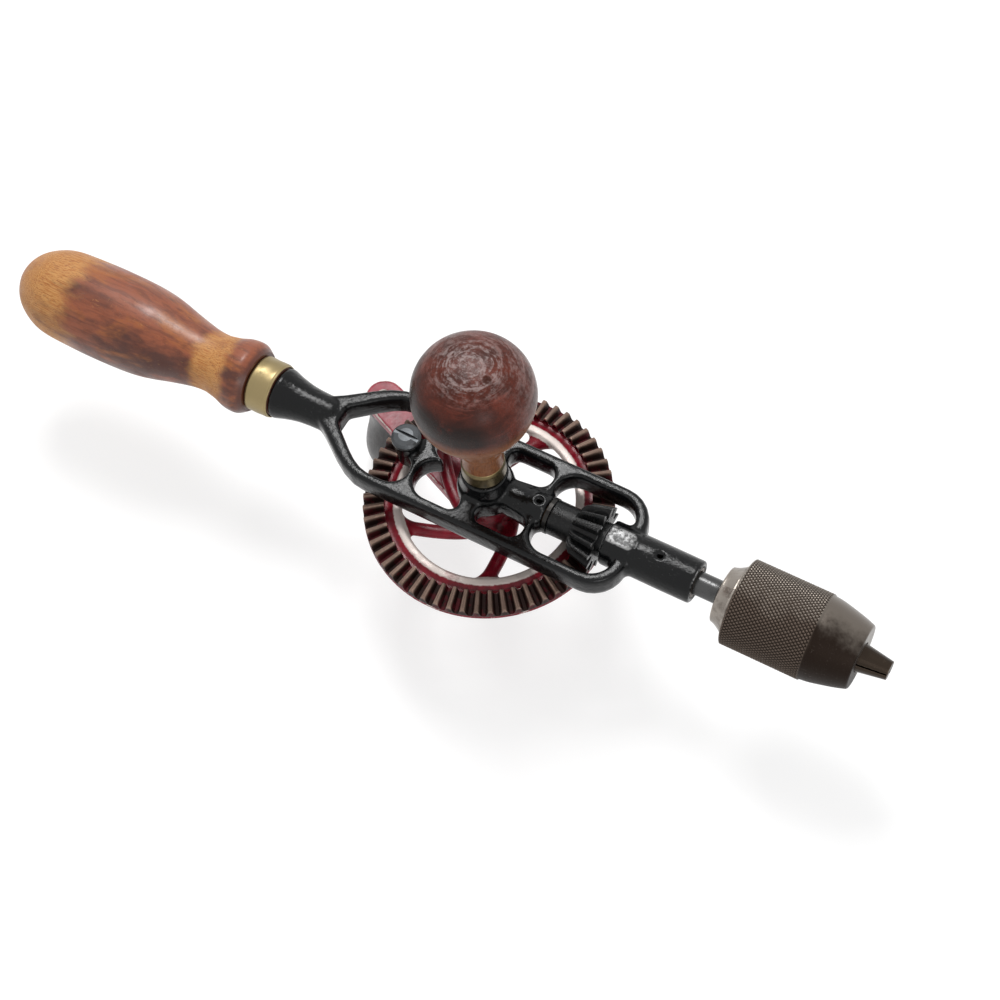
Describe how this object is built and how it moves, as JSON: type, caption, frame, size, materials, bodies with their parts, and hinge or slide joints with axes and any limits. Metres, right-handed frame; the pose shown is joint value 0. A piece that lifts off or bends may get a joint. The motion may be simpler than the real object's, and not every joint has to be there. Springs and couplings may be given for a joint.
{
  "type": "hand drill",
  "caption": "Hand drill with a wooden handle, black cast frame, red bevel drive gear turned by a crank, side knob and a knurled chuck with sliding jaws.",
  "frame": {"origin": "centre of the box's bottom; the spindle axis runs parallel to X and the gear axis parallel to Z", "axes": "+X along the spindle from the handle to the chuck, +Z along the gear axis towards the side knob"},
  "size_m": [0.3928, 0.1006, 0.1595],
  "materials": {
    "varnished_wood": "glossy varnish, worn",
    "dark_wood": "dark stain, scuffed",
    "grey_wood": "dark grey stain",
    "brass": "tarnished",
    "black_enamel": "glossy black enamel, worn",
    "red_enamel": "crimson enamel, worn",
    "bronze": "plain bearing bronze",
    "steel": "bare, aged",
    "dark_steel": "dark brown steel"
  },
  "bodies": {
    "frame_body": {"frame": "black_enamel", "main_handle": "varnished_wood", "handle_ferrule": "brass", "side_knob": "dark_wood", "side_knob_ferrule": "brass", "side_knob_stud": "steel", "gear_axle": "steel", "gear_washer": "steel", "axle_washer": "steel", "rear_bush": "bronze", "front_bush": "bronze", "thrust_washer": "dark_steel", "gear_steady_screw": "steel"},
    "crank_body": {"drive_gear": "red_enamel", "crank_arm": "red_enamel", "crank_pin": "steel"},
    "crank_knob_body": {"crank_knob": "grey_wood"},
    "spindle_body": {"spindle": "steel", "pinion": "dark_steel", "pinion_pin": "dark_steel", "chuck_body": "dark_steel"},
    "sleeve_body": {"chuck_sleeve": "dark_steel", "chuck_nut": "steel"},
    "jaw_1_body": {"chuck_jaw_1": "dark_steel"},
    "jaw_2_body": {"chuck_jaw_2": "dark_steel"},
    "jaw_3_body": {"chuck_jaw_3": "dark_steel"}
  },
  "joints": [
    {"name": "crank_turn", "type": "hinge", "parent": "frame_body", "child": "crank_body", "pos_m": [0.02555, 0, 0.055], "axis": [0, 0, 1], "continuous": true},
    {"name": "crank_knob_spin", "type": "hinge", "parent": "crank_body", "child": "crank_knob_body", "pos_m": [-0.03972, 0.0269, 0.02], "axis": [0, 0, 1], "continuous": true},
    {"name": "spindle_spin", "type": "hinge", "parent": "frame_body", "child": "spindle_body", "pos_m": [0.07555, 0, 0.07], "axis": [1, 0, 0], "continuous": true},
    {"name": "chuck_sleeve_turn", "type": "hinge", "parent": "spindle_body", "child": "sleeve_body", "pos_m": [0.15555, 0, 0.07], "axis": [1, 0, 0], "range_deg": [0, 2160.5]},
    {"name": "jaw_1_slide", "type": "slide", "parent": "spindle_body", "child": "jaw_1_body", "axis": [-0.9863, 0, 0.165], "range_m": [0, 0.0185]},
    {"name": "jaw_2_slide", "type": "slide", "parent": "spindle_body", "child": "jaw_2_body", "axis": [-0.9863, -0.1429, -0.0825], "range_m": [0, 0.0185]},
    {"name": "jaw_3_slide", "type": "slide", "parent": "spindle_body", "child": "jaw_3_body", "axis": [-0.9863, 0.1429, -0.0825], "range_m": [0, 0.0185]}
  ],
  "couplings": [
    {"joint": "spindle_spin", "follows": "crank_turn", "ratio": 4.3846},
    {"joint": "chuck_sleeve_turn", "follows": "jaw_1_slide", "rad_per_m": 2037.8},
    {"joint": "jaw_2_slide", "follows": "jaw_1_slide", "ratio": 1},
    {"joint": "jaw_3_slide", "follows": "jaw_1_slide", "ratio": 1}
  ]
}
